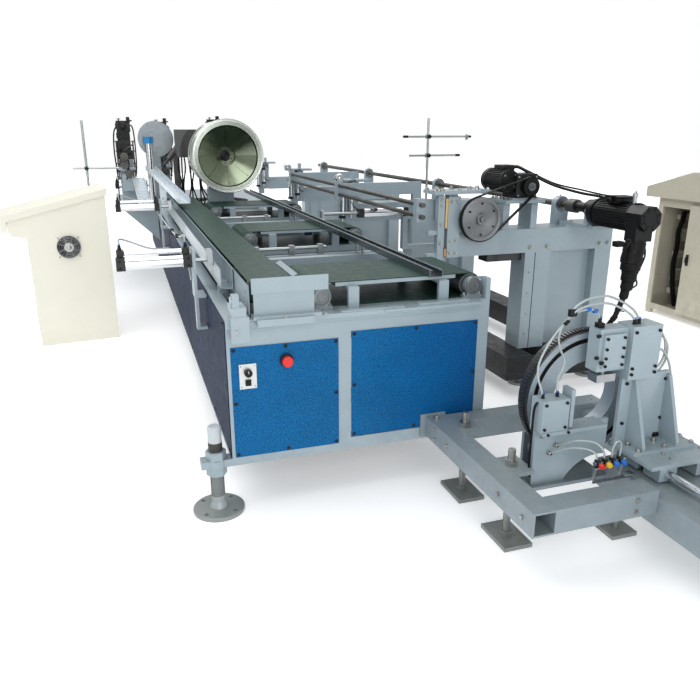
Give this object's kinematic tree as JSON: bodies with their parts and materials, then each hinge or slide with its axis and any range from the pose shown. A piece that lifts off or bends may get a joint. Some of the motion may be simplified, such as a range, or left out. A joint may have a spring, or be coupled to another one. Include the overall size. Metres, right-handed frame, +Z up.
{
  "type": "profile packing machine",
  "caption": "Long conveyor bed with cross belts, side pushers, turnover drum, gantry line, turning ring device, control desk and cabinet.",
  "frame": {"origin": "centre of the underside of the front left levelling foot, on the floor", "axes": "+X across the bed to the right as seen by the operator, +Y along the bed away from the operator, +Z up"},
  "size_m": [5.0158, 7.0909, 1.466],
  "materials": {
    "beige_paint": "beige-grey powder coat",
    "black_metal": "black painted motor housing",
    "black_plastic": "black moulded plastic",
    "black_rubber": "black rubber belt",
    "blue_panel": "blue hammer-finish paint with dark specks",
    "bright_steel": "ground steel shaft",
    "chrome": "hard chrome cylinder barrel",
    "cream_paint": "cream powder coat",
    "dark_plinth": "black painted steel box",
    "disc_grey": "grey turned cast iron",
    "drum_metal": "turned bright steel drum",
    "galvanised": "bright galvanised sheet",
    "green_belt": "dark green PVC conveyor belt",
    "navy_sheet": "dark navy painted sheet steel",
    "oiled_steel": "dark oily steel",
    "painted_grey": "light grey-blue gloss machine paint",
    "red_plastic": "red moulded button"
  },
  "bodies": {
    "frame": {"bed_frame": "painted_grey", "front_panels": "blue_panel", "side_sheets": "navy_sheet", "levelling_feet": "oiled_steel", "conveyor_belt": "green_belt", "conveyor_frame": "painted_grey", "belt_rollers": "bright_steel", "end_stop": "painted_grey", "conveyor_gearbox": "painted_grey", "side_trough": "painted_grey", "cross_belts": "green_belt", "roller_bearings": "painted_grey", "stop_bars": "bright_steel", "bed_tray": "navy_sheet", "guide_channel": "galvanised", "cylinders": "chrome", "cylinder_brackets": "painted_grey", "gantry_plinth": "dark_plinth", "gantry_frames": "painted_grey", "slide_guide": "painted_grey", "long_rods": "bright_steel", "rod_brackets": "painted_grey", "shaft_bearings": "painted_grey", "belt_motor": "black_metal", "motor_stands": "painted_grey", "drive_belt": "black_rubber", "shaft_gearmotor": "black_metal", "cable_bundle": "black_rubber", "rear_stands": "painted_grey", "feed_heads": "black_metal", "guide_disc": "disc_grey", "infeed_chutes": "galvanised", "inclined_cylinder": "chrome", "ring_base_frame": "painted_grey", "ring_feet": "oiled_steel", "rail_beam": "painted_grey", "linear_shafts": "chrome", "ring_plate": "painted_grey", "control_desk": "cream_paint", "desk_fan": "black_plastic", "cabinet_body": "beige_paint", "control_plates": "galvanised", "sensor_stands": "bright_steel"},
    "stop": {"stop_button": "red_plastic"},
    "pusher_1": {"pusher_rod_1": "bright_steel"},
    "pusher_2": {"pusher_rod_2": "bright_steel"},
    "pusher_3": {"pusher_rod_3": "bright_steel"},
    "cross_push": {"cross_cylinder_rod": "bright_steel"},
    "lift": {"lift_slide": "painted_grey"},
    "disc": {"belt_disc": "disc_grey"},
    "small_pulley": {"motor_pulley": "black_metal"},
    "line_shaft": {"drive_shaft": "bright_steel"},
    "drum": {"turnover_drum": "drum_metal"},
    "ring": {"turning_ring": "painted_grey"},
    "carriage": {"pedestal": "painted_grey"},
    "top_jaw_body": {"top_jaw": "bright_steel"},
    "side_jaw_body": {"side_jaw": "painted_grey"},
    "door": {"cabinet_door": "beige_paint"}
  },
  "joints": [
    {"name": "stop_press", "type": "slide", "parent": "frame", "child": "stop", "axis": [0, 1, 0], "range_m": [0, 0.006]},
    {"name": "pusher_1_stroke", "type": "slide", "parent": "frame", "child": "pusher_1", "axis": [1, 0, 0], "range_m": [-0.04, 0]},
    {"name": "pusher_2_stroke", "type": "slide", "parent": "frame", "child": "pusher_2", "axis": [1, 0, 0], "range_m": [-0.04, 0]},
    {"name": "pusher_3_stroke", "type": "slide", "parent": "frame", "child": "pusher_3", "axis": [1, 0, 0], "range_m": [-0.04, 0]},
    {"name": "cross_push_stroke", "type": "slide", "parent": "frame", "child": "cross_push", "axis": [1, 0, 0], "range_m": [-0.05, 0.15]},
    {"name": "lift_stroke", "type": "slide", "parent": "frame", "child": "lift", "axis": [0, 0, 1], "range_m": [-0.08, 0]},
    {"name": "disc_spin", "type": "hinge", "parent": "frame", "child": "disc", "pos_m": [1.396, 0.689, 0.922], "axis": [0, 1, 0], "continuous": true},
    {"name": "pulley_spin", "type": "hinge", "parent": "frame", "child": "small_pulley", "pos_m": [1.656, 0.689, 1.068], "axis": [0, 1, 0], "continuous": true},
    {"name": "shaft_spin", "type": "hinge", "parent": "frame", "child": "line_shaft", "pos_m": [1.956, 0.71, 0.962], "axis": [0, 1, 0], "continuous": true},
    {"name": "drum_spin", "type": "hinge", "parent": "frame", "child": "drum", "pos_m": [0.548, 3.275, 1.15], "axis": [0, 1, 0], "continuous": true},
    {"name": "ring_turn", "type": "hinge", "parent": "frame", "child": "ring", "pos_m": [1.193, -0.425, 0.471], "axis": [0, 1, 0], "range_deg": [0, 180]},
    {"name": "carriage_stroke", "type": "slide", "parent": "frame", "child": "carriage", "axis": [0, -1, 0], "range_m": [0, 0.4]},
    {"name": "top_clamp_stroke", "type": "slide", "parent": "carriage", "child": "top_jaw_body", "axis": [0, 0, -1], "range_m": [0, 0.06]},
    {"name": "side_clamp_stroke", "type": "slide", "parent": "frame", "child": "side_jaw_body", "axis": [1, 0, 0], "range_m": [0, 0.06]},
    {"name": "cabinet_door_swing", "type": "hinge", "parent": "frame", "child": "door", "pos_m": [3.53, 1.271, 0.45], "axis": [0, 0, 1], "range_deg": [0, 110]}
  ],
  "couplings": [
    {"joint": "pulley_spin", "follows": "disc_spin", "ratio": 2.4762}
  ]
}
